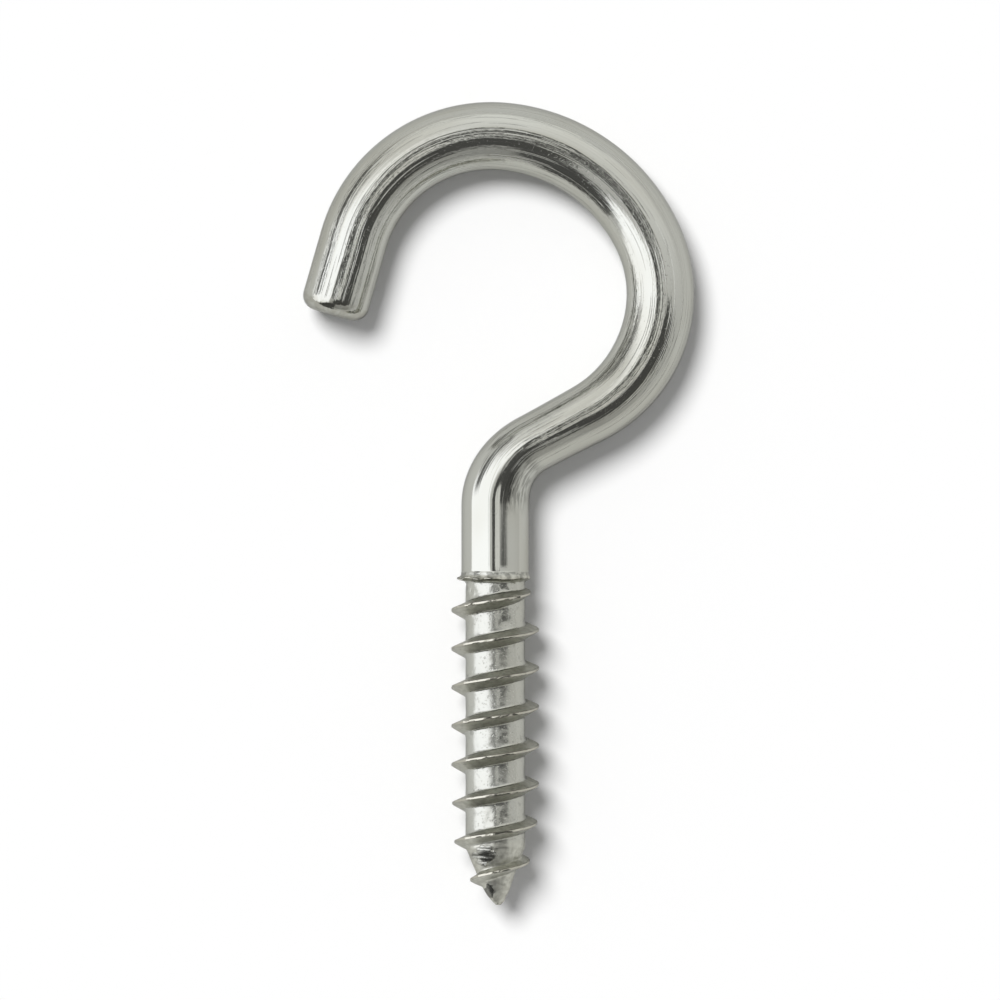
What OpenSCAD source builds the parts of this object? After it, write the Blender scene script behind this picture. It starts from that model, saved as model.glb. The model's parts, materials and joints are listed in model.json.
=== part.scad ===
// Open screw hook bent from one length of zinc-plated steel wire: a question-mark bowl, a short
// neck, a plain shank and a rolled wood-screw thread that ends in a blunt gimlet point.
// It lies as it comes to rest, on the far side of the bowl and one thread crest.
// Sizes are in millimetres. Z is up, the bowl is towards +Y and the point towards -Y.

/* [Wire] */
// Diameter of the wire
wire_d = 4.25; // [3.6:0.05:5]
// Radius of the rounded edge at the wire's cut end
end_edge_r = 0.9; // [0.3:0.1:1.2]

/* [Neck] */
// Radius of the neck's bend, at the middle of the wire
neck_r = 4.3; // [3.8:0.1:7]
// Angle that the neck turns away from the screw's axis
neck_sweep = 62; // [45:1:75]
// Length of the straight run between the neck and the bowl
neck_run = 4; // [1:0.1:8]
// Width of the wire where the bending tool squeezed it
neck_w = 3.7; // [3:0.1:4.2]
// Length over which the squeezed wire gets back to its full width
neck_fade = 11; // [6:0.5:14]

/* [Bowl] */
// Radius of the bowl's near bend, at the middle of the wire
near_r = 8.45; // [7.5:0.05:12]
// Angle of the near bend
near_sweep = 88; // [70:1:110]
// Radius of the flatter bend on the bowl's far side
far_r = 11; // [9:0.1:14]
// Angle of the far bend
far_sweep = 59; // [40:1:75]
// Radius of the last bend, towards the wire's end
last_r = 8.9; // [7.5:0.1:12]
// Angle of the last bend
last_sweep = 79; // [60:1:90]
// Length of the straight end of the wire
end_run = 4.9; // [2:0.1:8]

/* [Screw] */
// Length of the plain shank between the neck and the thread
shank_l = 4.4; // [2:0.1:12]
// Length of the thread, with its point
thread_l = 20.5; // [14:0.1:32]
// Diameter over the thread's crests
thread_d = 5.5; // [5:0.1:6.5]
// Diameter of the core between the crests
core_d = 3.7; // [3:0.1:4.2]
// Advance of the thread in one turn
pitch = 2.4; // [1.8:0.1:3]
// Width of the land on top of a crest
crest_land = 0.12; // [0.05:0.01:0.3]
// Angle between the thread's flank towards the shank and the plane across the screw
upper_flank = 25; // [15:1:35]
// Angle between the thread's flank towards the point and the plane across the screw
lower_flank = 30; // [20:1:38]
// Length of the conical point
point_l = 3.6; // [2:0.1:6]
// Diameter of the point's blunt end
point_d = 0.7; // [0.4:0.05:1]
// Length of the cone between the shank and the core
shoulder_l = 0.7; // [0.3:0.1:1.5]
// Length of the thread's low last turn, where it runs out against the shank
runout_l = 2.1; // [1.2:0.1:3]
// Diameter over the low last turn
runout_d = 4.8; // [4.4:0.1:5.4]
// Height of the crests above the core near the point
lead_h = 0.56; // [0.3:0.01:0.8]
// Length from the point over which the crests grow to their full height
lead_l = 8.5; // [4:0.1:12]
// Angle about the axis at which the thread starts, from the top towards +X
thread_start = 116; // [0:1:359]

/* [Hidden] */

// Bright zinc with a faint warm tint
zinc = [0.74, 0.74, 0.70];
// Facets of the turned faces
$fn = 96;
// Sides of the swept wire, its longest straight step and its widest step round a bend
wire_sides = 36;
run_step = 1.5;
bend_step = 6;
// Steps round the edge of the cut end
edge_steps = 4;
// The swept wire starts inside the shank: how deep, and how far under its surface
seat_l = 1;
seat_gap = 0.01;
// Sections of the thread in one turn, and how deep its foot lies in the core
turn_steps = 30;
bury = 0.3;
// Distance from the point at which the thread starts, and the length over which it comes up
entry_u = 0.5;
entry_l = 0.8;
// The thread ends inside the shank: how far past the shank's edge, and how far under its surface
tuck_l = 0.5;
sink = 0.1;

wire_r = wire_d / 2;
thread_r = thread_d / 2;
core_r = core_d / 2;
point_r = point_d / 2;
point_y = -shank_l - thread_l;

// The wire's route from the shank to the rounding of its cut end, piece by piece:
// [radius, sweep to the left] or [0, length]
route = [
    [neck_r, -neck_sweep],
    [0, neck_run],
    [near_r, near_sweep],
    [far_r, far_sweep],
    [last_r, last_sweep],
    [0, end_run - end_edge_r]
];

// A pose is a place in the bowl's plane and a heading, counted to the left from +Y.
// This is the pose after a share of one piece of the route.
function onward(pose, piece, share = 1) =
    let (h = pose[2], r = piece[0], go = piece[1] * share, arm = sign(go) * r)
    r == 0
        ? [pose.x - go * sin(h), pose.y + go * cos(h), h]
        : [pose.x + arm * (cos(h + go) - cos(h)), pose.y + arm * (sin(h + go) - sin(h)), h + go];

function piece_length(piece) = piece[0] == 0 ? piece[1] : piece[0] * abs(piece[1]) * PI / 180;
function piece_steps(piece) = ceil(piece[0] == 0 ? piece[1] / run_step : abs(piece[1]) / bend_step);

// Poses at the joints of the route and the length up to each, from the top of the shank
joints = [
    for (i = 0, p = [0, 0, 0]; i <= len(route); p = i < len(route) ? onward(p, route[i]) : p, i = i + 1) p
];
lengths = [
    for (i = 0, s = 0; i <= len(route); s = i < len(route) ? s + piece_length(route[i]) : s, i = i + 1) s
];

// Stations along the route: a pose and its distance from the shank
stations = [
    for (i = [0 : len(route) - 1])
        let (steps = piece_steps(route[i]))
        for (k = [1 : steps])
            [onward(joints[i], route[i], k / steps), lengths[i] + piece_length(route[i]) * k / steps]
];
wire_end = joints[len(route)];

// How far the lying hook reaches, and the far side of the bowl that touches the floor
bowl_top = max([for (s = stations) s[0].y]);
right_side = max([for (s = stations) s[0].x + wire_r]);
left_side = min([for (s = stations) s[0].x - wire_r * abs(cos(s[0][2]))]);

// Rise from 0 to 1 with level ends
function ease(t) = let (c = min(max(t, 0), 1)) c * c * (3 - 2 * c);

// Radius of the core and of the crests at a distance from the point
full_u = thread_l - runout_l;
end_u = thread_l + tuck_l;
function core_at(u) = u < point_l ? point_r + (core_r - point_r) * max(u, 0) / point_l : core_r;
function lead_at(u) = lead_h + (thread_r - core_r - lead_h) * ease(u / lead_l);
function runout_at(u) = thread_r - (thread_r - runout_d / 2) * ease(2 * (u - full_u) / runout_l);
function crest_at(u) =
    u < full_u
        ? core_at(u) + lead_at(u) * min((u - entry_u) / entry_l, 1)
        : runout_at(u) + (wire_r - sink - runout_at(u)) * ease((u - thread_l) / tuck_l);

// The crest that touches the floor is the last full one on the underside
under_turn = (180 - thread_start) / 360;
rest_turn = under_turn + floor((full_u - entry_u) / pitch - under_turn);
rest_y = point_y + entry_u + pitch * rest_turn;
lean = asin((thread_r - wire_r) / (bowl_top - rest_y));
floor_z = wire_r + bowl_top * sin(lean);
mid_x = (left_side + right_side) / 2;
mid_y = (bowl_top + wire_r + point_y) / 2 * cos(lean);

// Squeeze of the section at a distance along the wire, most at the end of the neck's bend
bend_l = piece_length(route[0]);
function squeeze(s) = s < bend_l ? ease(s / bend_l) : 1 - ease((s - bend_l) / neck_fade);

// Loop of the wire's section, with its half width in the bowl's plane and its half height
function section(pose, w, h) = [
    for (k = [0 : wire_sides - 1])
        let (a = 360 * k / wire_sides, x = w * cos(a))
        [pose.x + x * cos(pose[2]), pose.y + x * sin(pose[2]), h * sin(a)]
];

// Solid through a row of closed loops with equal numbers of points
module loft(loops) {
    n = len(loops[0]);
    last = len(loops) - 1;
    sides = [
        for (i = [0 : last - 1], k = [0 : n - 1])
            let (a = i * n + k, b = i * n + (k + 1) % n)
            each [[a, b, b + n], [a, b + n, a + n]]
    ];
    near = [for (k = [n - 1 : -1 : 0]) k];
    far = [for (k = [0 : n - 1]) last * n + k];
    polyhedron([for (loop = loops) each loop], concat(sides, [near, far]));
}

// Neck, bowl and cut end: the wire swept along its route, narrower in the neck by the tool's squeeze
module bent_wire() {
    seat_r = wire_r - seat_gap;
    loft(concat(
        [section([0, -seat_l, 0], seat_r, seat_r)],
        [
            for (s = stations)
                let (w = wire_r - (wire_r - neck_w / 2) * squeeze(s[1]))
                section(s[0], w, wire_r * wire_r / w)
        ],
        [
            for (k = [1 : edge_steps])
                let (a = 90 * k / edge_steps, r = wire_r - end_edge_r * (1 - cos(a)))
                section(onward(wire_end, [0, end_edge_r * sin(a)]), r, r)
        ]
    ));
}

// Shank, core and point, turned about the screw's axis
module shank() {
    translate([0, point_y, 0]) rotate([-90, 0, 0]) {
        cylinder(r1 = point_r, r2 = core_r, h = point_l);
        translate([0, 0, point_l]) cylinder(r = core_r, h = thread_l - point_l);
        translate([0, 0, thread_l - shoulder_l]) cylinder(r1 = core_r, r2 = wire_r, h = shoulder_l);
        translate([0, 0, thread_l]) cylinder(r = wire_r, h = shank_l);
    }
}

// Right-hand wood-screw thread: a blade with a narrow land, wound about the core
module thread() {
    land = crest_land;
    steps = round((end_u - entry_u) / pitch * turn_steps);
    loft([
        for (i = [0 : steps])
            let (
                u = entry_u + (end_u - entry_u) * i / steps,
                a = thread_start + 360 * (u - entry_u) / pitch,
                crest = crest_at(u),
                depth = max(crest - core_at(u), 0) + bury,
                lower = land / 2 + depth * tan(lower_flank),
                upper = land / 2 + depth * tan(upper_flank),
                foot_lo = max(core_at(u - lower) - bury, point_r / 2),
                foot_hi = max(core_at(u + upper) - bury, point_r / 2)
            )
            [
                for (q = [[foot_lo, -lower], [crest, -land / 2], [crest, land / 2], [foot_hi, upper]])
                    [q[0] * sin(a), point_y + u + q[1], q[0] * cos(a)]
            ]
    ]);
}

// The whole hook, leaned on to its rest and centred over the origin
module screw_hook() {
    color(zinc) translate([-mid_x, -mid_y, floor_z]) rotate([-lean, 0, 0]) {
        bent_wire();
        shank();
        thread();
    }
}

screw_hook();
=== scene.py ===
"""Looks of an open screw hook in bright zinc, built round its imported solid.

The hook is one length of drawn wire: a rolled wood-screw thread with a gimlet point, a plain shank, a neck
that the bending tool squeezed, and a question-mark bowl with a cut end. It is modelled in the bowl's own
plane, in millimetres, with the screw along Y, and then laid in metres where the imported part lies.
"""

import json
import logging
import math
from dataclasses import dataclass, field, fields
from enum import Enum
from typing import Any, Optional, Sequence, Union

import bmesh
import bpy
from bmesh.types import BMEdge, BMesh, BMVert
from mathutils import Matrix, Vector, noise

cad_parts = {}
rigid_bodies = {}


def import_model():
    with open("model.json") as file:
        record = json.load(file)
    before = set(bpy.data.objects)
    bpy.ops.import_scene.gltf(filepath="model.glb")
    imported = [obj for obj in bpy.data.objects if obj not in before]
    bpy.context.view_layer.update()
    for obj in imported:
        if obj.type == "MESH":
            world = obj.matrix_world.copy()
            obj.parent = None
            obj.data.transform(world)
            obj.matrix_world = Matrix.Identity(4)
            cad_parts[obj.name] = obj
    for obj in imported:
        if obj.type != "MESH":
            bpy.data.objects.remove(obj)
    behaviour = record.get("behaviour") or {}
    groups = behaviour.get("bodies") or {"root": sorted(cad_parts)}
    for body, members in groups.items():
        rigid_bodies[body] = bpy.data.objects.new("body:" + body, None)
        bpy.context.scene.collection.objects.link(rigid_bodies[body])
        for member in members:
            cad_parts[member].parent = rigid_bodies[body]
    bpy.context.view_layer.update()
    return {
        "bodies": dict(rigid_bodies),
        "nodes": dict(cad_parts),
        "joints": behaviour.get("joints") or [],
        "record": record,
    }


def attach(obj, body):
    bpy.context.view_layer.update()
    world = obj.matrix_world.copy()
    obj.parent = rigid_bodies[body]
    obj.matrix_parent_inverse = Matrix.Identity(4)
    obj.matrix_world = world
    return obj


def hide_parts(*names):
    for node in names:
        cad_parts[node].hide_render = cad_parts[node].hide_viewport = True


log = logging.getLogger("screw_hook")

MM = 0.001
NODE = "screw_hook"
BODY = "root"
THREAD_MOUNT = "screw_thread"

# Radius of the drawn wire in millimetres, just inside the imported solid's
WIRE_R = 2.115

Pair = tuple[float, float]
Colour = tuple[float, float, float]


def clamp(share: float) -> float:
    """A share held between 0 and 1."""
    return min(max(share, 0.0), 1.0)


def ease(share: float) -> float:
    """Rise from 0 to 1 with level ends, for a share that may lie outside them."""
    held = clamp(share)
    return held * held * (3 - 2 * held)


def verts_of(geom: Sequence[Any]) -> list[BMVert]:
    """The vertices among what an operator returned."""
    return [g for g in geom if isinstance(g, BMVert)]


def edges_of(geom: Sequence[Any]) -> list[BMEdge]:
    """The edges among what an operator returned."""
    return [g for g in geom if isinstance(g, BMEdge)]


class Side(Enum):
    """The side that a bend turns to, for someone who follows the wire from the screw."""

    LEFT = 1
    RIGHT = -1


class End(Enum):
    """An end of the screw, with its direction along Y."""

    POINT = -1
    SHANK = 1


class Axis(Enum):
    """An axis of a vector that a shader takes apart."""

    X = 0
    Y = 1
    Z = 2


@dataclass
class Layers:
    """The vertex layers of the hook's mesh.

    Attributes:
        straight: Place on the wire before it was bent, in millimetres, with Y along the wire.
        lift: Height on the thread, from 0 at its root to 1 on its crest.
        offset: Distance along Y from the middle of the thread's crest, used while it is wound.
    """

    straight: Any
    lift: Any
    offset: Any

    @classmethod
    def of(cls, bm: BMesh) -> "Layers":
        """Add the layers to an empty mesh.

        Args:
            bm: The hook's mesh.

        Returns:
            The handles of its new layers.
        """
        bm.verts.layers.float_vector.new("straight")
        bm.verts.layers.float.new("lift")
        bm.verts.layers.float.new("offset")
        floats = bm.verts.layers.float
        return cls(bm.verts.layers.float_vector["straight"], floats["lift"], floats["offset"])


@dataclass
class Pose:
    """A place on the wire's middle line, in the bowl's plane, and its heading from +Y to the left."""

    x: float
    y: float
    heading: float

    def frame(self) -> Matrix:
        """The frame with X across the wire, Y along it and Z up."""
        return Matrix.Translation((self.x, self.y, 0)) @ Matrix.Rotation(math.radians(self.heading), 4, "Z")


@dataclass(frozen=True)
class Run:
    """A straight run of the wire, with its length and the length of its steps."""

    length: float
    step: float = 0.4

    def steps(self) -> int:
        """How many sections the run gets."""
        return math.ceil(self.length / self.step)

    def onward(self, start: Pose, share: float) -> Pose:
        """The pose after a share of the run.

        Args:
            start: The pose at which the run starts.
            share: Part of the run, from 0 to 1.

        Returns:
            The pose there.
        """
        turn = math.radians(start.heading)
        gone = self.length * share
        return Pose(start.x - gone * math.sin(turn), start.y + gone * math.cos(turn), start.heading)


@dataclass(frozen=True)
class Bend:
    """A bend of the wire, with the radius at its middle line and the angle that it turns through."""

    radius: float
    sweep: float
    side: Side
    step: float = 2.5

    @property
    def length(self) -> float:
        """Length of the wire's middle line round the bend."""
        return self.radius * math.radians(self.sweep)

    def steps(self) -> int:
        """How many sections the bend gets."""
        return math.ceil(self.sweep / self.step)

    def onward(self, start: Pose, share: float) -> Pose:
        """The pose after a share of the bend.

        Args:
            start: The pose at which the bend starts.
            share: Part of the bend, from 0 to 1.

        Returns:
            The pose there.
        """
        arm = self.radius * self.side.value
        heading = start.heading + self.sweep * share * self.side.value
        before, after = math.radians(start.heading), math.radians(heading)
        return Pose(
            start.x + arm * (math.cos(after) - math.cos(before)),
            start.y + arm * (math.sin(after) - math.sin(before)),
            heading,
        )


@dataclass
class WoodScrew:
    """Rolled wood-screw thread with its core, gimlet point and run-out, along Y.

    Heights u are measured from the point, and angles about Y from the top towards +X, in degrees. Lengths
    are in millimetres, and a grain says how often a noise changes in one.

    Attributes:
        outline_steps: Parts of each stretch of half the outline, from the root's middle to the crest's.
        entry_u: Height at which the thread is at its start angle.
        rise_u: Height at which the crest comes out of the core, over rise_l.
        lead_h: Height of the first crests, which grow to the full height over lead_l.
        fade_from: Height from which the last turn sinks into the core, down to nothing at fade_to.
        burr_profile: Height above fade_to, share of the step from core to wire, and share of the burr.
    """

    thread_l: float
    crest_r: float
    shank_l: float = 4.4
    wire_r: float = WIRE_R
    core_r: float = 1.85
    pitch: float = 2.4
    land: float = 0.12
    upper_flank: float = 22.0
    lower_flank: float = 28.0
    crest_round: float = 0.02
    root_round: float = 0.1
    outline_steps: tuple[int, ...] = (5, 4, 4, 3, 3, 1)
    point_l: float = 3.6
    point_r: float = 0.42
    nose_l: float = 1.0
    nose_r: float = 0.12
    blunt_l: float = 0.08
    blunt_steps: int = 6
    tip_shift: float = 0.18
    entry_u: float = 0.5
    rise_u: float = 0.3
    rise_l: float = 1.2
    lead_h: float = 0.56
    lead_l: float = 8.5
    start_angle: float = 116.0
    fade_from: float = 18.9
    fade_to: float = 19.98
    burr_profile: tuple[tuple[float, float, float], ...] = (
        (0.14, 0.15, 0.10),
        (0.21, 0.50, 0.40),
        (0.26, 0.80, 0.80),
        (0.30, 1.0, 1.0),
        (0.34, 1.0, 1.0),
        (0.39, 1.0, 0.7),
        (0.46, 1.0, 0.3),
        (0.55, 1.0, 0.1),
        (0.80, 1.0, 0.0),
    )
    burr_h: float = 0.3
    burr_l: float = 0.05
    burr_angle: float = 300.0
    burr_lean: float = 0.45
    burr_mean: float = 0.8
    burr_breaks: Pair = (0.6, 0.5)
    burr_grains: Pair = (5.3, 11.9)
    burr_wave: float = 0.14
    wave_grain: float = 3.7
    nick_depth: float = 0.1
    nick_grains: Pair = (2.1, 4.7)
    nick_floor: float = 0.1
    dent_depth: float = 0.025
    dent_grains: Pair = (1.3, 3.1)
    dent_floor: float = 0.05
    fine_share: float = 0.7
    tip_dents: float = 2.0
    runout_from: float = 16.8
    runout_dents: float = 3.0
    runout_nicks: float = 1.5
    turn_steps: int = 96
    weld: float = 0.004
    fine_weld: float = 0.0004

    @property
    def point_y(self) -> float:
        """Place of the point along Y."""
        return -self.shank_l - self.thread_l

    @property
    def full_height(self) -> float:
        """Height of a full crest above the core."""
        return self.crest_r - self.core_r

    def core(self, u: float) -> float:
        """Radius of the core at a height above the point: a cone with a rounded nose."""
        cone = self.point_r + (self.core_r - self.point_r) * clamp(u / self.point_l)
        return cone - (self.point_r - self.nose_r) * clamp(1 - u / self.nose_l) ** 2

    def height(self, u: float) -> float:
        """Height of the crest above the core.

        Args:
            u: Height above the point of the crest's middle.

        Returns:
            The crest's height there.
        """
        entry = clamp((u - self.rise_u) / self.rise_l) ** 2
        lead = self.lead_h + (self.full_height - self.lead_h) * ease(u / self.lead_l)
        fade = 1 - ease((u - self.fade_from) / (self.fade_to - self.fade_from))
        return entry * lead * fade

    def foot(self, height: float, offset: float) -> float:
        """Reach of the thread's foot on the offset's side of the crest, for a height of the crest."""
        angle = self.upper_flank if offset > 0 else self.lower_flank
        return self.land / 2 + height * math.tan(math.radians(angle))

    def build(self, bm: BMesh, layers: Layers) -> list[BMEdge]:
        """Wind the thread, close its point and lead it into the shank.

        Args:
            bm: The hook's mesh.
            layers: Its vertex layers.

        Returns:
            The ring of edges at the foot of the shank.
        """
        self._wind(bm, layers)
        self._shape(bm, layers)
        low = self._trim(bm, self.blunt_l, End.POINT)
        high = self._trim(bm, self.fade_to, End.SHANK)
        self._close_point(bm, low)
        ring = self._shoulder(bm, layers, high)
        for v in bm.verts:
            v[layers.straight] = v.co
        return ring

    def _outline(self) -> list[Pair]:
        """One pitch of the thread's outline.

        Returns:
            Offsets along Y from the middle of the crest, each with its lift.
        """
        edge, crest, root = self.land / 2, 2 * self.crest_round, 2 * self.root_round
        sides = []
        for end in End:
            foot = self.foot(self.full_height, end.value)
            stops = (self.pitch / 2, foot + root, foot, foot - root, edge + crest, edge, 0.0)
            stretches = zip(stops, stops[1:], self.outline_steps)
            half = [a + (b - a) * k / n for a, b, n in stretches for k in range(n)]
            sides.append([(end.value * out, self._lift(out, foot) / self._lift(0.0, foot)) for out in half])
        below, above = sides
        return below + [(0.0, 1.0)] + above[::-1]

    def _lift(self, out: float, foot: float) -> float:
        """Height on the outline, with rounded corners at the crest and the root.

        Args:
            out: Distance from the middle of the crest.
            foot: Reach of the thread's foot on that side.

        Returns:
            The height, from about 0 at the root to about 1 on the crest.
        """
        up = (foot - out) / (foot - self.land / 2)
        root, crest = self.root_round / self.full_height, self.crest_round / self.full_height
        return (math.hypot(up, root) - math.hypot(up - 1, crest) + 1) / 2

    def _wind(self, bm: BMesh, layers: Layers) -> None:
        """Spin one pitch of the outline into a turn, and repeat it past both ends of the thread.

        Args:
            bm: The hook's mesh.
            layers: Its vertex layers.
        """
        first = self.entry_u - self.pitch
        turns = math.ceil((self.thread_l + self.pitch / 2 - first) / self.pitch)
        chain = []
        for offset, lift in self._outline():
            v = bm.verts.new((0, self.point_y + first + offset, self.core_r))
            v[layers.offset], v[layers.lift] = offset, lift
            chain.append(v)
        edges = [bm.edges.new(pair) for pair in zip(chain, chain[1:])]
        start = Matrix.Rotation(math.radians(self.start_angle), 3, "Y")
        bmesh.ops.rotate(bm, verts=chain, cent=(0, 0, 0), matrix=start)
        bmesh.ops.spin(
            bm,
            geom=chain + edges,
            cent=(0, 0, 0),
            axis=(0, 1, 0),
            dvec=(0, self.pitch / self.turn_steps, 0),
            angle=math.tau,
            steps=self.turn_steps,
            use_merge=False,
        )
        turn = bm.verts[:] + bm.edges[:] + bm.faces[:]
        for k in range(1, turns):
            copy = verts_of(bmesh.ops.duplicate(bm, geom=turn)["geom"])
            bmesh.ops.translate(bm, vec=(0, k * self.pitch, 0), verts=copy)
        bmesh.ops.remove_doubles(bm, verts=bm.verts[:], dist=self.weld)

    def _narrowed(self, offset: float, height: float) -> float:
        """Offset of a point of the outline where the crest is lower, so that the flanks keep their angle.

        Args:
            offset: The point's offset on a full crest.
            height: Height of the crest there.

        Returns:
            The point's offset on the lower crest.
        """
        edge, gap = self.land / 2, self.pitch / 2
        full, foot = self.foot(self.full_height, offset), self.foot(height, offset)
        out = abs(offset)
        if edge < out <= full:
            out = edge + (out - edge) * (foot - edge) / (full - edge)
        elif out > full:
            out = foot + (out - full) * (gap - foot) / (gap - full)
        return math.copysign(out, offset)

    def _shape(self, bm: BMesh, layers: Layers) -> None:
        """Move the wound vertices to the core and the crests, with the nicks and dents of rolling.

        Args:
            bm: The hook's mesh.
            layers: Its vertex layers.
        """
        for v in bm.verts:
            lift, offset = v[layers.lift], v[layers.offset]
            middle = v.co.y - self.point_y - offset
            u = middle + self._narrowed(offset, self.height(middle))
            core, crest = self.core(u), self.core(middle) + self.height(middle)
            out = Vector((v.co.x, 0, v.co.z)).normalized()
            place = out * (core + lift * (crest - core)) + Vector((0, self.point_y + u, 0))
            shift = self.tip_shift * max(1 - u / self.point_l, 0.0) ** 2
            v.co = place - out * self._wear(place, lift) + Vector((shift, 0, 0))

    def _wear(self, place: Vector, lift: float) -> float:
        """Depth of the nicks in the crest and of the dents in the root.

        Both are deeper near the run-out, and the dents also near the point.

        Args:
            place: Place on the screw.
            lift: Height on the thread there, from 0 to 1.

        Returns:
            How far the surface lies inside its true form.
        """
        u = place.y - self.point_y
        nick = self._hollow(place, self.nick_grains, self.nick_floor)
        dent = self._hollow(place, self.dent_grains, self.dent_floor)
        rough_end = ease((u - self.runout_from) / (self.fade_from - self.runout_from))
        dent *= 1 + self.tip_dents * (1 - ease(u / self.lead_l)) + self.runout_dents * rough_end
        nick *= 1 + self.runout_nicks * rough_end
        return self.nick_depth * nick * lift**4 + self.dent_depth * dent * (1 - lift) ** 2

    def _hollow(self, place: Vector, grains: Pair, floor: float) -> float:
        """How far a coarse noise with a finer one on it stands above a floor, or 0 below it."""
        coarse, fine = (noise.noise(place * grain) for grain in grains)
        return max(coarse + self.fine_share * fine - floor, 0.0)

    def _trim(self, bm: BMesh, u: float, end: End) -> list[BMEdge]:
        """Cut the wound screw square to its axis.

        Args:
            bm: The hook's mesh.
            u: Height of the cut above the point.
            end: The end that is dropped.

        Returns:
            The edges round the cut.
        """
        cut = bmesh.ops.bisect_plane(
            bm,
            geom=bm.verts[:] + bm.edges[:] + bm.faces[:],
            dist=self.fine_weld,
            plane_co=(0, self.point_y + u, 0),
            plane_no=(0, end.value, 0),
            clear_outer=True,
        )
        return edges_of(cut["geom_cut"])

    def _close_point(self, bm: BMesh, ring: list[BMEdge]) -> None:
        """Round off the blunt end of the point.

        Args:
            bm: The hook's mesh.
            ring: The edges round the lower cut.
        """
        before = 0.0
        rim = {v for e in ring for v in e.verts}
        middle = Matrix.Translation(-sum((v.co for v in rim), Vector()) / len(rim))
        for k in range(1, self.blunt_steps):
            angle = math.pi / 2 * k / self.blunt_steps
            made = bmesh.ops.extrude_edge_only(bm, edges=ring)["geom"]
            shrink = math.cos(angle) / math.cos(before)
            drop = self.blunt_l * (math.sin(angle) - math.sin(before))
            bmesh.ops.scale(bm, vec=(shrink, 1, shrink), space=middle, verts=verts_of(made))
            bmesh.ops.translate(bm, vec=(0, -drop, 0), verts=verts_of(made))
            ring, before = edges_of(made), angle
        bmesh.ops.edgeloop_fill(bm, edges=ring)

    def _shoulder(self, bm: BMesh, layers: Layers, ring: list[BMEdge]) -> list[BMEdge]:
        """Lead the core over the burr that the rolling pushed up and into the shank.

        Args:
            bm: The hook's mesh.
            layers: Its vertex layers.
            ring: The edges round the upper cut.

        Returns:
            The ring of edges at the foot of the shank.
        """
        level = self.fade_to + self.burr_l
        stand = Matrix.Translation((0, self.point_y + level, 0)) @ Matrix.Rotation(math.pi / 2, 4, "X")
        round_core = bmesh.ops.create_circle(bm, segments=self.turn_steps, radius=self.core_r, matrix=stand)
        circle = list({e for v in round_core["verts"] for e in v.link_edges})
        bmesh.ops.bridge_loops(bm, edges=ring + circle)
        step = self.wire_r - self.core_r
        loop = circle
        for rise, share, burr in self.burr_profile:
            made = bmesh.ops.extrude_edge_only(bm, edges=loop)["geom"]
            verts, loop = verts_of(made), edges_of(made)
            for v in verts:
                out = Vector((v.co.x, 0, v.co.z)).normalized()
                wave = self.burr_wave * noise.noise(out * self.wave_grain) * burr
                radius = self.core_r + share * step + burr * self._burr(out)
                v.co = out * radius + Vector((0, self.point_y + self.fade_to + rise + wave, 0))
                v[layers.lift] = burr
        return loop

    def _burr(self, out: Vector) -> float:
        """Height of the burr, which is most on one side and broken along its edge.

        Args:
            out: Direction from the axis.

        Returns:
            The height in that direction.
        """
        angle = math.atan2(out.x, out.z) - math.radians(self.burr_angle)
        broken = self.burr_mean
        for grain, share in zip(self.burr_grains, self.burr_breaks):
            broken += share * noise.noise(out * grain)
        return self.burr_h * (1 - self.burr_lean + self.burr_lean * math.cos(angle)) * broken


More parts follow.
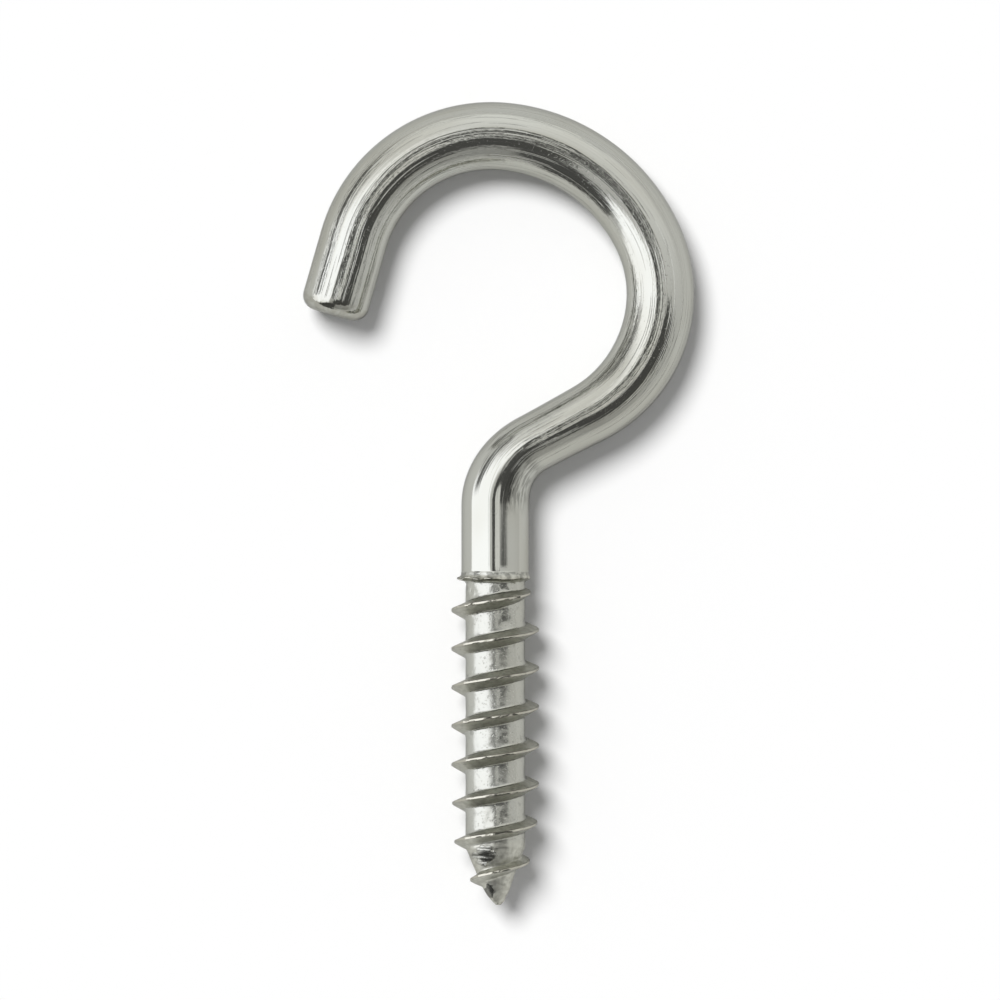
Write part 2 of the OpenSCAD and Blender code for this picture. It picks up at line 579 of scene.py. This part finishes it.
@dataclass
class BentWire:
    """Shank, squeezed neck, bowl and cut end of the drawn wire.

    Lengths are in millimetres and angles in degrees.
    """

    wire_r: float = WIRE_R
    end_edge_r: float = 0.9
    neck_w: float = 3.7
    neck_fade: float = 11.0
    neck: Bend = Bend(4.3, 62, Side.RIGHT)
    neck_run: Run = Run(4.0)
    near: Bend = Bend(8.45, 88, Side.LEFT)
    far: Bend = Bend(11.0, 59, Side.LEFT)
    last: Bend = Bend(8.9, 79, Side.LEFT)
    end_run: Run = Run(4.0)
    edge_steps: int = 6

    def squeeze(self, s: float) -> float:
        """How much of the tool's squeeze the wire shows at a distance past the shank, from 0 to 1."""
        past = s - self.neck.length
        return ease(s / self.neck.length) if past < 0 else 1 - ease(past / self.neck_fade)

    def half_width(self, s: float) -> float:
        """Half the width of the wire in the bowl's plane at a distance past the shank."""
        return self.wire_r - (self.wire_r - self.neck_w / 2) * self.squeeze(s)

    def build(self, bm: BMesh, layers: Layers, ring: list[BMEdge]) -> None:
        """Draw the wire out of the shank's foot, along its route, to the cut end.

        Args:
            bm: The hook's mesh.
            layers: Its vertex layers.
            ring: The ring of edges at the foot of the shank.
        """
        foot = ring[0].verts[0].co.y
        start, s = Pose(0, foot, 0), foot
        for piece in (Run(-foot), self.neck, self.neck_run, self.near, self.far, self.last, self.end_run):
            steps = piece.steps()
            pose = start
            for k in range(1, steps + 1):
                after = piece.onward(start, k / steps)
                gone = piece.length / steps
                wider = self.half_width(s + gone) / self.half_width(s)
                ring = self._extend(bm, layers, ring, pose, after, gone, Vector((wider, 1, 1 / wider)))
                pose, s = after, s + gone
            start = pose
        self._cut_end(bm, layers, ring, start)

    def _extend(
        self,
        bm: BMesh,
        layers: Layers,
        ring: list[BMEdge],
        before: Pose,
        after: Pose,
        gone: float,
        size: Vector,
    ) -> list[BMEdge]:
        """Add one section of the wire.

        Args:
            bm: The hook's mesh.
            layers: Its vertex layers.
            ring: The last section's edges.
            before: Pose of the last section.
            after: Pose of the new section.
            gone: Length of wire between the two.
            size: Size of the new section in its own frame, as a share of the last one's.

        Returns:
            The new section's edges.
        """
        made = bmesh.ops.extrude_edge_only(bm, edges=ring)["geom"]
        verts = verts_of(made)
        move = after.frame() @ Matrix.Diagonal(size).to_4x4() @ before.frame().inverted()
        bmesh.ops.transform(bm, matrix=move, verts=verts)
        for v in verts:
            v[layers.straight] += Vector((0, gone, 0))
        return edges_of(made)

    def _cut_end(self, bm: BMesh, layers: Layers, ring: list[BMEdge], pose: Pose) -> None:
        """Round the edge of the cut end and close its face.

        Args:
            bm: The hook's mesh.
            layers: Its vertex layers.
            ring: The last section's edges.
            pose: Its pose.
        """
        radius, reach = self.wire_r, 0.0
        for k in range(1, self.edge_steps + 1):
            angle = math.pi / 2 * k / self.edge_steps
            wanted = self.wire_r - self.end_edge_r * (1 - math.cos(angle))
            ahead = self.end_edge_r * math.sin(angle)
            after = Run(ahead - reach).onward(pose, 1)
            smaller = wanted / radius
            ring = self._extend(bm, layers, ring, pose, after, ahead - reach, Vector((smaller, 1, smaller)))
            pose, radius, reach = after, wanted, ahead
        bmesh.ops.edgeloop_fill(bm, edges=ring)


Operand = Union["Value", float, Sequence[float], bpy.types.NodeSocket]


class Graph:
    """The node tree of one material or of the world."""

    def __init__(self, tree: bpy.types.NodeTree) -> None:
        """Start from an empty tree."""
        tree.nodes.clear()
        self.tree = tree

    def node(
        self,
        kind: str,
        settings: Optional[dict[str, Any]] = None,
        inputs: Optional[dict[Union[int, str], Operand]] = None,
    ) -> bpy.types.Node:
        """Add a node.

        Args:
            kind: The node's type.
            settings: Its settings, which are set first.
            inputs: Values or links of its sockets, by name or number.

        Returns:
            The new node.
        """
        made = self.tree.nodes.new(kind)
        for name, value in (settings or {}).items():
            setattr(made, name, value)
        for key, value in (inputs or {}).items():
            if isinstance(value, Value):
                self.tree.links.new(value.socket, made.inputs[key])
            elif isinstance(value, bpy.types.NodeSocket):
                self.tree.links.new(value, made.inputs[key])
            else:
                made.inputs[key].default_value = value
        return made

    def value(self, socket: bpy.types.NodeSocket) -> "Value":
        """A socket as a number for arithmetic."""
        return Value(self, socket)

    def attribute(self, name: str) -> bpy.types.Node:
        """The node that reads one of the mesh's attributes."""
        return self.node("ShaderNodeAttribute", {"attribute_name": name})

    def vector(self, operation: str, *operands: Operand) -> bpy.types.NodeSocket:
        """The vector that a Vector Math node works out."""
        made = self.node("ShaderNodeVectorMath", {"operation": operation}, dict(enumerate(operands)))
        return made.outputs[0]

    def part(self, vector: bpy.types.NodeSocket, axis: Axis) -> "Value":
        """One component of a vector."""
        return self.value(self.node("ShaderNodeSeparateXYZ", inputs={0: vector}).outputs[axis.value])

    def mix(self, share: Operand, low: Operand, high: Operand) -> bpy.types.NodeSocket:
        """A colour between two others.

        Args:
            share: 0 for the first colour, 1 for the second.
            low: The first colour, as three or four numbers or a socket.
            high: The second colour.

        Returns:
            The mixed colour.
        """
        ends = [c if isinstance(c, bpy.types.NodeSocket) else (*c[:3], 1.0) for c in (low, high)]
        made = self.node("ShaderNodeMix", {"data_type": "RGBA"}, {0: share, 6: ends[0], 7: ends[1]})
        return made.outputs[2]


class Value:
    """A number in a shader that takes part in Python's arithmetic."""

    def __init__(self, graph: Graph, socket: bpy.types.NodeSocket) -> None:
        """Wrap a socket of a graph."""
        self.graph = graph
        self.socket = socket

    def _math(self, operation: str, *operands: Operand) -> "Value":
        """The result of one Math node."""
        made = self.graph.node("ShaderNodeMath", {"operation": operation}, dict(enumerate(operands)))
        return Value(self.graph, made.outputs[0])

    def __add__(self, other: Operand) -> "Value":
        """Sum."""
        return self._math("ADD", self, other)

    def __radd__(self, other: Operand) -> "Value":
        """Sum with a number on the left."""
        return self._math("ADD", other, self)

    def __sub__(self, other: Operand) -> "Value":
        """Difference."""
        return self._math("SUBTRACT", self, other)

    def __rsub__(self, other: Operand) -> "Value":
        """Difference with a number on the left."""
        return self._math("SUBTRACT", other, self)

    def __mul__(self, other: Operand) -> "Value":
        """Product."""
        return self._math("MULTIPLY", self, other)

    def __rmul__(self, other: Operand) -> "Value":
        """Product with a number on the left."""
        return self._math("MULTIPLY", other, self)

    def __truediv__(self, other: Operand) -> "Value":
        """Quotient."""
        return self._math("DIVIDE", self, other)

    def __rtruediv__(self, other: Operand) -> "Value":
        """Quotient with a number on the left."""
        return self._math("DIVIDE", other, self)

    def most(self, other: Operand) -> "Value":
        """The greater of two numbers."""
        return self._math("MAXIMUM", self, other)

    def step(self, low: float, high: float) -> "Value":
        """Smooth rise or fall between two numbers.

        Args:
            low: The number at which the result is 0.
            high: The number at which it is 1, which may be the smaller of the two.

        Returns:
            The result, held between 0 and 1.
        """
        flip = low > high
        ends = {"From Min": min(low, high), "From Max": max(low, high)}
        ramp = {"Value": self, **ends, "To Min": float(flip), "To Max": float(not flip)}
        made = self.graph.node("ShaderNodeMapRange", {"interpolation_type": "SMOOTHSTEP"}, ramp)
        return Value(self.graph, made.outputs[0])

    def above(self, limit: float, soft: float) -> "Value":
        """1 above a limit and 0 below it, with a soft change."""
        return self.step(limit - soft, limit + soft)

    def below(self, limit: float, soft: float) -> "Value":
        """1 below a limit and 0 above it, with a soft change."""
        return self.step(limit + soft, limit - soft)

    def within(self, span: Pair, soft: float) -> "Value":
        """1 between two limits and 0 outside them, with soft changes."""
        return self.above(span[0], soft) * self.below(span[1], soft)

    def shaken(self, pattern: "Value", reach: float) -> "Value":
        """The number moved to and fro by a pattern, by half the reach each way."""
        return self + pattern * reach - reach / 2


@dataclass(frozen=True)
class Oval:
    """An oval patch.

    Attributes:
        at: Its middle.
        half: Its half sizes.
        slant: How far it rises to the right, as a share of the way.
        soft: Softness of its edge, as a share of the squared half size.
    """

    at: Pair
    half: Pair
    slant: float = 0.0
    soft: float = 0.1

    def on(self, x: Value, y: Value) -> Value:
        """The patch at a place, 1 inside and 0 outside."""
        across, up = (x - self.at[0]) / self.half[0], (y - x * self.slant - self.at[1]) / self.half[1]
        return (across * across + up * up).below(1.0, self.soft)


@dataclass(frozen=True)
class Grain:
    """A noise on the unbent wire.

    Attributes:
        width: Size of its patches across the wire, in millimetres.
        length: Their size along the wire.
        detail: How many finer layers it has.
        cut: What it is where its patches begin and where they are full, if they alone are used.
    """

    width: float
    length: float
    detail: float
    cut: Optional[Pair] = None

    def on(self, g: Graph, place: bpy.types.NodeSocket) -> Value:
        """Add the noise.

        Args:
            g: The material's nodes.
            place: Place on the unbent wire.

        Returns:
            The noise there, from about 0 to 1.
        """
        scaled = g.vector("MULTIPLY", place, (1 / self.width, 1 / self.length, 1 / self.width))
        made = g.node("ShaderNodeTexNoise", inputs={"Vector": scaled, "Scale": 1.0, "Detail": self.detail})
        value = g.value(made.outputs[0])
        return value.step(*self.cut) if self.cut else value


@dataclass(frozen=True)
class Patch:
    """How a pattern comes up in patches.

    Attributes:
        low: What the pattern is where a patch begins.
        high: What it is where the patch is full, which may be the smaller of the two.
        share: How strong a full patch is.
    """

    low: float
    high: float
    share: float = 1.0

    def of(self, pattern: Value) -> Value:
        """The patches of a pattern, from 0 to their share."""
        return pattern.step(self.low, self.high) * self.share


@dataclass(frozen=True)
class Patterns:
    """The noises of the finish, each from about 0 to 1, under the names of their grains."""

    streak: Value
    groove: Value
    scratch: Value
    fleck: Value
    pit: Value
    dent: Value
    cloud: Value
    ridge: Value
    mark: Value
    mottle: Value


@dataclass(frozen=True)
class Zones:
    """Where the kinds of surface lie, each from 0 outside to 1 inside.

    Attributes:
        rolled: The thread and its burr.
        drawn: The wire's drawing lines, which are faint on the shank.
        scuff: The bending tool's scuff at the neck.
        rim: The cut end with its rounded edge.
        shorn: The face of the cut end.
        facet: Where a flat on the point lies; the flat isn't modelled, and its dark look is a painted dark
            reflection.
        gouge: A gouge in the cone behind that flat, darker in the hollows of its own relief.
        collar: The burr under the shank.
    """

    rolled: Value
    smooth: Value
    drawn: Value
    scuff: Value
    rim: Value
    shorn: Value
    facet: Value
    gouge: Value
    crest: Value
    root: Value
    flank: Value
    runout: Value
    collar: Value


@dataclass(frozen=True)
class BrightZinc:
    """Bright zinc plate over drawn wire, duller where the thread was rolled.

    Lengths are in millimetres. Names in _rough are roughnesses, and names in _x, _y and _z are places on the
    unbent wire between which a zone comes up or fades, with Y along the wire.
    """

    plate: Colour = (0.45, 0.455, 0.415)
    dull: Colour = (0.37, 0.365, 0.31)
    flank: Colour = (0.51, 0.51, 0.45)
    grime: Colour = (0.30, 0.295, 0.25)
    # Dark colour for soot and dirt, and also for the painted dark reflection on the point's flat.
    soot: Colour = (0.13, 0.13, 0.115)
    crest: Colour = (0.43, 0.42, 0.36)
    edge: float = 0.55
    glossy_rough: float = 0.08
    worn_rough: float = 0.16
    root_rough: float = 0.25
    crest_rough: float = 0.15
    flank_rough: float = 0.38
    shorn_rough: float = 0.25
    streak: Grain = Grain(0.20, 18.0, 1.5)
    groove: Grain = Grain(0.12, 9.0, 1.0, (0.58, 0.68))
    scratch: Grain = Grain(0.08, 4.0, 2.0)
    fleck: Grain = Grain(0.07, 0.4, 1.0)
    pit: Grain = Grain(0.16, 0.16, 1.0, (0.62, 0.74))
    dent: Grain = Grain(0.45, 0.45, 2.0)
    cloud: Grain = Grain(1 / 0.35, 1 / 0.12, 2.0)
    ridge: Grain = Grain(1 / 1.1, 1 / 3.3, 1.0)
    mark: Grain = Grain(1 / 7, 1 / 0.9, 2.0)
    mottle: Grain = Grain(0.28, 0.28, 3.0)
    scratched: Patch = Patch(0.4, 0.75)
    cloudy: Patch = Patch(0.35, 0.7, 0.5)
    streaky: Patch = Patch(0.55, 0.8, 0.35)
    mottled: Patch = Patch(0.40, 0.66, 0.5)
    grimy_rim: Patch = Patch(0.4, 0.6, 0.5)
    # Darkens the gouge where its relief is low, in its hollows.
    sooty_gouge: Patch = Patch(0.52, 0.44)
    sooty_scuff: Patch = Patch(0.40, 0.62, 0.7)
    sooty_collar: Patch = Patch(0.45, 0.58, 0.7)
    sooty_specks: Patch = Patch(0.64, 0.70, 0.35)
    rim_grime: float = 0.1
    # Strength of that dark colour, for the dirt and for the painted dark reflection alike.
    stain: float = 0.8
    pit_wear: float = 0.5
    streak_depth: float = 0.020
    groove_depth: float = 0.014
    scratch_depth: float = 0.007
    fleck_depth: float = 0.005
    pit_depth: float = 0.010
    dent_depth: float = 0.014
    ridge_depth: float = 0.08
    scuff_depth: float = 0.015
    burr_depth: float = 0.03
    wire_pits: float = 0.3
    runout_dents: float = 2.0
    faintest: float = 0.1
    drawn_y: Pair = (1.0, 4.5)
    scuff_x: Pair = (0.3, 0.9)
    scuff_z: Pair = (0.5, 1.3)
    scuff_from_y: Pair = (-1.0, 0.6)
    scuff_to_y: Pair = (5.0, 3.5)
    rim_y: Pair = (49.1, 49.45)
    shorn_y: Pair = (49.9, 50.05)
    rolled_y: Pair = (-4.15, -4.25)
    collar_y: Pair = (-4.95, -4.75)
    runout_y: Pair = (-7.55, -6.15)
    root_y: Pair = (-21.5, -20.5)
    root_lift: Pair = (0.22, 0.12)
    crest_lift: Pair = (0.9, 0.96)
    # Patch on the point that is painted near black: a painted dark reflection of a flat that isn't modelled.
    facet: Oval = Oval((-0.36, -24.0), (0.30, 0.44))
    facet_wave: Pair = (0.5, 0.7)
    gouge: Oval = Oval((-0.66, -21.68), (0.68, 0.62))
    gouge_wave: Pair = (1.2, 0.8)

    def material(self) -> bpy.types.Material:
        """Make the finish.

        Returns:
            A metal that reads the hook's own vertex layers.
        """
        made = bpy.data.materials.new("bright_zinc")
        made.use_nodes = True
        g = Graph(made.node_tree)
        place = g.attribute("straight").outputs["Vector"]
        grains = {pattern.name: getattr(self, pattern.name) for pattern in fields(Patterns)}
        patterns = Patterns(**{name: grain.on(g, place) for name, grain in grains.items()})
        zones = self._zones(g, place, patterns)
        relief = self._relief(patterns, zones)
        bump = g.node("ShaderNodeBump", inputs={"Strength": 1.0, "Distance": MM, "Height": relief})
        shader = g.node(
            "ShaderNodeBsdfPrincipled",
            inputs={
                "Base Color": self._colour(g, patterns, zones),
                "Metallic": 1.0,
                "Roughness": self._roughness(patterns, zones),
                "Specular Tint": (self.edge, self.edge, self.edge, 1.0),
                "Normal": bump.outputs[0],
            },
        )
        g.node("ShaderNodeOutputMaterial", inputs={"Surface": shader.outputs[0]})
        return made

    def _zones(self, g: Graph, place: bpy.types.NodeSocket, p: Patterns) -> Zones:
        """Find the kinds of surface.

        Args:
            g: The material's nodes.
            place: Place on the unbent wire.
            p: The noises.

        Returns:
            Where each kind lies.
        """
        across, along, up = (g.part(place, axis) for axis in Axis)
        lift = g.value(g.attribute("lift").outputs["Fac"])
        rolled = along.step(*self.rolled_y)
        scuff = across.step(*self.scuff_x) * up.step(*self.scuff_z)
        x_wave, y_wave = self.facet_wave
        facet = self.facet.on(across.shaken(p.ridge, x_wave), along.shaken(p.dent, y_wave))
        x_wave, y_wave = self.gouge_wave
        gouge = self.gouge.on(across.shaken(p.dent, x_wave), along.shaken(p.ridge, y_wave))
        crest = rolled * lift.step(*self.crest_lift)
        root = rolled * lift.step(*self.root_lift) * along.step(*self.root_y).most(gouge).most(facet)
        return Zones(
            rolled=rolled,
            smooth=1 - rolled,
            drawn=along.step(*self.drawn_y) * (1 - self.faintest) + self.faintest,
            scuff=scuff * along.step(*self.scuff_from_y) * along.step(*self.scuff_to_y),
            rim=along.step(*self.rim_y),
            shorn=along.step(*self.shorn_y),
            facet=facet,
            gouge=gouge,
            crest=crest,
            root=root,
            flank=rolled - root - crest,
            runout=rolled * along.step(*self.runout_y),
            collar=rolled * along.step(*self.collar_y),
        )

    def _relief(self, p: Patterns, z: Zones) -> Value:
        """Height of the fine relief.

        Args:
            p: The noises.
            z: The kinds of surface.

        Returns:
            The height in millimetres.
        """
        lines = p.streak * self.streak_depth + p.scratch * self.scratch_depth + p.fleck * self.fleck_depth
        lines = lines - p.groove * self.groove_depth
        return (
            lines * z.drawn * (z.smooth - z.rim)
            + p.mark * z.scuff * self.scuff_depth
            - p.pit * self.pit_depth * (z.drawn * self.wire_pits + z.root)
            + p.dent * self.dent_depth * (z.rolled + z.crest + z.runout * self.runout_dents)
            + p.ridge * self.ridge_depth * z.gouge
            + p.dent * self.burr_depth * z.rim
        )

    def _colour(self, g: Graph, p: Patterns, z: Zones) -> bpy.types.NodeSocket:
        """Colour of the plate with its dull patches, grime, soot and a painted dark reflection on the point's
        flat.

        Args:
            g: The material's nodes.
            p: The noises.
            z: The kinds of surface.

        Returns:
            The colour.
        """
        dulled = self.cloudy.of(p.cloud) + self.streaky.of(p.streak) * z.drawn
        colour = g.mix(dulled, self.plate, self.dull)
        colour = g.mix(z.flank, colour, g.mix(self.mottled.of(p.mottle), self.flank, self.grime))
        colour = g.mix(z.rim * (self.grimy_rim.of(p.dent) + self.rim_grime), colour, self.grime)
        colour = g.mix(z.crest, colour, self.crest)
        # The gouge is darker where its relief is low, in its hollows.
        # The point's flat is painted near black all over: a painted dark reflection.
        soot_and_painted_dark_share = (z.gouge * self.sooty_gouge.of(p.ridge)).most(z.facet)
        soot_and_painted_dark_share = soot_and_painted_dark_share.most(z.scuff * self.sooty_scuff.of(p.mark))
        soot_and_painted_dark_share = soot_and_painted_dark_share.most(z.collar * self.sooty_collar.of(p.dent))
        soot_and_painted_dark_share = soot_and_painted_dark_share.most(z.rolled * self.sooty_specks.of(p.dent))
        return g.mix(soot_and_painted_dark_share * self.stain, colour, self.soot)

    def _roughness(self, p: Patterns, z: Zones) -> Value:
        """Roughness of the plate, the thread and the cut end.

        Args:
            p: The noises.
            z: The kinds of surface.

        Returns:
            The roughness.
        """
        wear = self.scratched.of(p.scratch) * z.drawn + p.pit * self.pit_wear + z.scuff
        wire = self.glossy_rough + (self.worn_rough - self.glossy_rough) * wear
        rough = wire * z.smooth + z.root * self.root_rough + z.crest * self.crest_rough
        return rough + z.flank * self.flank_rough + z.shorn * self.shorn_rough


@dataclass
class ScrewHook:
    """The whole hook: its screw, its wire, its finish and where it lies."""

    screw: WoodScrew
    lay: Matrix
    wire: BentWire = field(default_factory=BentWire)
    finish: BrightZinc = BrightZinc()
    sharp_angle: float = 40.0
    inset: float = 0.008

    @classmethod
    def from_frame(cls, frame: dict[str, Any]) -> "ScrewHook":
        """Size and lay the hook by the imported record's thread mount.

        Args:
            frame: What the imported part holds.

        Returns:
            The hook, not yet built.
        """
        mount = next(m for m in frame["record"]["mounts"] if m["name"] == THREAD_MOUNT)
        screw = WoodScrew(mount["dims"]["length_mm"], mount["dims"]["r_mm"] - cls.inset)
        lean = Vector((0, -1, 0)).rotation_difference(Vector(mount["axis"])).to_matrix().to_4x4()
        shank_end = Matrix.Translation((0, screw.shank_l, 0))
        return cls(screw, Matrix.Translation(mount["pos_m"]) @ lean @ Matrix.Scale(MM, 4) @ shank_end)

    def build(self) -> bpy.types.Object:
        """Model the hook as one closed mesh.

        Returns:
            The hook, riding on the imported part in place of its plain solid.
        """
        bm = bmesh.new()
        layers = Layers.of(bm)
        ring = self.screw.build(bm, layers)
        self.wire.build(bm, layers, ring)
        bmesh.ops.remove_doubles(bm, verts=bm.verts[:], dist=self.screw.fine_weld)
        bmesh.ops.recalc_face_normals(bm, faces=bm.faces[:])
        bmesh.ops.transform(bm, matrix=self.lay, verts=bm.verts[:])
        bm.verts.layers.float.remove(layers.offset)
        mesh = bpy.data.meshes.new("zinc_hook")
        bm.to_mesh(mesh)
        bm.free()
        mesh.shade_smooth()
        mesh.set_sharp_from_angle(angle=math.radians(self.sharp_angle))
        hook = bpy.data.objects.new("zinc_hook", mesh)
        bpy.context.scene.collection.objects.link(hook)
        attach(hook, BODY)
        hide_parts(NODE)
        return hook

    def dress(self, hook: bpy.types.Object) -> None:
        """Give the hook its finish."""
        hook.data.materials.append(self.finish.material())


@dataclass(frozen=True)
class Surround:
    """The pale tent round the hook, as bright metal mirrors it to someone overhead.

    A place in it is given by the X and Y of the normal that mirrors it straight up, and names in _r2 are
    squared distances from the middle.
    """

    fill: Colour = (0.30, 0.30, 0.30)
    pale: float = 0.92
    rise: float = 0.9
    skirt: float = 0.9
    skirt_r2: Pair = (0.26, 0.44)
    bright: Colour = (2.09, 2.10, 2.22)
    window_x: Pair = (-0.68, -0.17)
    window_y: Pair = (-0.28, 0.24)
    window_slant: float = 0.5
    window_soft: float = 0.03
    window_top_soft: float = 0.1
    dark: Colour = (0.12, 0.12, 0.12)
    lens: Oval = Oval((0.015, 0.02), (0.11, 0.14))
    stand: Oval = Oval((0.155, -0.19), (0.29, 0.175), 0.2)
    door: Oval = Oval((-0.35, -0.34), (0.29, 0.215), 0.4)
    glint: Colour = (1.2, 1.2, 1.2)
    glass: Oval = Oval((0.06, -0.005), (0.072, 0.065))
    rail_r2: Pair = (0.285, 0.43)
    rail_r2_soft: float = 0.01
    rail_x: float = -0.36
    rail_y: float = 0.11
    rail_soft: float = 0.05
    rail_shade: float = 0.9

    def hang(self, scene: bpy.types.Scene) -> None:
        """Put the tent round the scene, white to the camera and even for the floor.

        Args:
            scene: The scene that it lights.
        """
        world = bpy.data.worlds.new("studio_tent")
        world.use_nodes = True
        world.cycles.sampling_method = "NONE"
        scene.world = world
        g = Graph(world.node_tree)
        ray = g.node("ShaderNodeTexCoord").outputs["Generated"]
        normal = g.vector("NORMALIZE", g.vector("ADD", ray, (0.0, 0.0, 1.0)))
        tent = self._tent(g, g.part(normal, Axis.X), g.part(normal, Axis.Y))
        path = g.node("ShaderNodeLightPath").outputs
        mirrored = g.value(path["Is Glossy Ray"]).most(g.value(path["Is Transmission Ray"]))
        seen = g.mix(path["Is Camera Ray"], g.mix(mirrored, self.fill, tent), (1.0, 1.0, 1.0))
        light = g.node("ShaderNodeBackground", inputs={"Color": seen, "Strength": 1.0})
        g.node("ShaderNodeOutputWorld", inputs={"Surface": light.outputs[0]})

    def _tent(self, g: Graph, x: Value, y: Value) -> bpy.types.NodeSocket:
        """Colour of the tent.

        Args:
            g: The world's nodes.
            x: X of a place.
            y: Y of the place.

        Returns:
            Pale walls with a bright window on the left and a dark rail on the far left, a dark lens with pale
            glass overhead, and a dark stand and door on the near side.
        """
        walls = self.pale + y * self.rise
        walls = walls + (self.skirt - walls) * (x * x + y * y).step(*self.skirt_r2)
        dark = self._rail(x, y) * self.rail_shade
        for patch in (self.stand, self.door, self.lens):
            dark = dark.most(patch.on(x, y))
        shade = g.mix(dark, g.mix(self._window(x, y), walls.socket, self.bright), self.dark)
        return g.mix(self.glass.on(x, y), shade, self.glint)

    def _window(self, x: Value, y: Value) -> Value:
        """The bright window on the left.

        Args:
            x: X of a place.
            y: Y of the place.

        Returns:
            1 inside the window and 0 outside.
        """
        (left, right), (low, high) = self.window_x, self.window_y
        wide = x.step(left - self.window_soft, left)
        wide = wide * (x - y * self.window_slant).below(right, self.window_soft)
        return wide * y.above(low, self.window_soft) * y.below(high, self.window_top_soft)

    def _rail(self, x: Value, y: Value) -> Value:
        """The dark rail on the far left, 1 inside and 0 outside."""
        ring = (x * x + y * y).within(self.rail_r2, self.rail_r2_soft)
        return ring * x.below(self.rail_x, self.rail_soft) * y.above(self.rail_y, self.rail_soft)


@dataclass
class Studio:
    """Floor, key light and the camera overhead. Lengths are in millimetres, angles in degrees."""

    floor_half: float = 5000.0
    floor_colour: Colour = (0.92, 0.92, 0.92)
    key_from: Pair = (-0.62, 0.78)
    key_height: float = 62.5
    key_width: float = 25.0
    key_power: float = 2.79
    frame_width: float = 62.305
    frame_middle: Pair = (0.07, 0.18)
    wire_height: float = 2.5
    lens: float = 200.0
    clip_span: float = 100.0
    surround: Surround = Surround()

    def build(self, scene: bpy.types.Scene) -> None:
        """Set up the floor, the light and the camera.

        Args:
            scene: The scene that they go into.
        """
        self.surround.hang(scene)
        floor, key, camera = self._floor(), self._key(), self._camera()
        for made in (floor, key, camera):
            scene.collection.objects.link(made)
        scene.camera = camera

    def _floor(self) -> bpy.types.Object:
        """The plain pale floor.

        Returns:
            The floor.
        """
        bm = bmesh.new()
        bmesh.ops.create_grid(bm, x_segments=1, y_segments=1, size=self.floor_half * MM)
        mesh = bpy.data.meshes.new("floor")
        bm.to_mesh(mesh)
        bm.free()
        paint = bpy.data.materials.new("pale_floor")
        paint.use_nodes = True
        g = Graph(paint.node_tree)
        matt = g.node("ShaderNodeBsdfDiffuse", inputs={"Color": (*self.floor_colour, 1.0)})
        g.node("ShaderNodeOutputMaterial", inputs={"Surface": matt.outputs[0]})
        mesh.materials.append(paint)
        floor = bpy.data.objects.new("floor", mesh)
        return floor

    def _key(self) -> bpy.types.Object:
        """The soft key light from the upper left.

        Returns:
            The lamp, which casts the shadow and isn't mirrored.
        """
        lamp = bpy.data.lights.new("key", "SUN")
        lamp.energy = self.key_power
        lamp.angle = math.radians(self.key_width)
        key = bpy.data.objects.new("key", lamp)
        high = math.radians(self.key_height)
        side = Vector(self.key_from).normalized() * math.cos(high)
        key.rotation_mode = "QUATERNION"
        key.rotation_quaternion = Vector((-side.x, -side.y, -math.sin(high))).to_track_quat("-Z", "Y")
        key.visible_glossy = False
        return key

    def _camera(self) -> bpy.types.Object:
        """The camera, looking straight down on the hook.

        Returns:
            The camera.
        """
        data = bpy.data.cameras.new("overhead")
        data.lens = self.lens
        away = self.frame_width / data.sensor_width * self.lens
        camera = bpy.data.objects.new("overhead", data)
        camera.location = Vector((*self.frame_middle, self.wire_height + away)) * MM
        data.clip_start, data.clip_end = away * MM / self.clip_span, away * MM * self.clip_span
        return camera


def main() -> None:
    """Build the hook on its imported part, dress it and set up the studio."""
    logging.basicConfig(level=logging.INFO, format="%(name)s: %(message)s")
    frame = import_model()
    scene = bpy.context.scene
    scene.view_settings.view_transform = "Standard"
    hook = ScrewHook.from_frame(frame)
    piece = hook.build()
    hook.dress(piece)
    log.info("%s: %d vertices, %d faces", piece.name, len(piece.data.vertices), len(piece.data.polygons))
    Studio().build(scene)


if __name__ == "__main__":
    main()
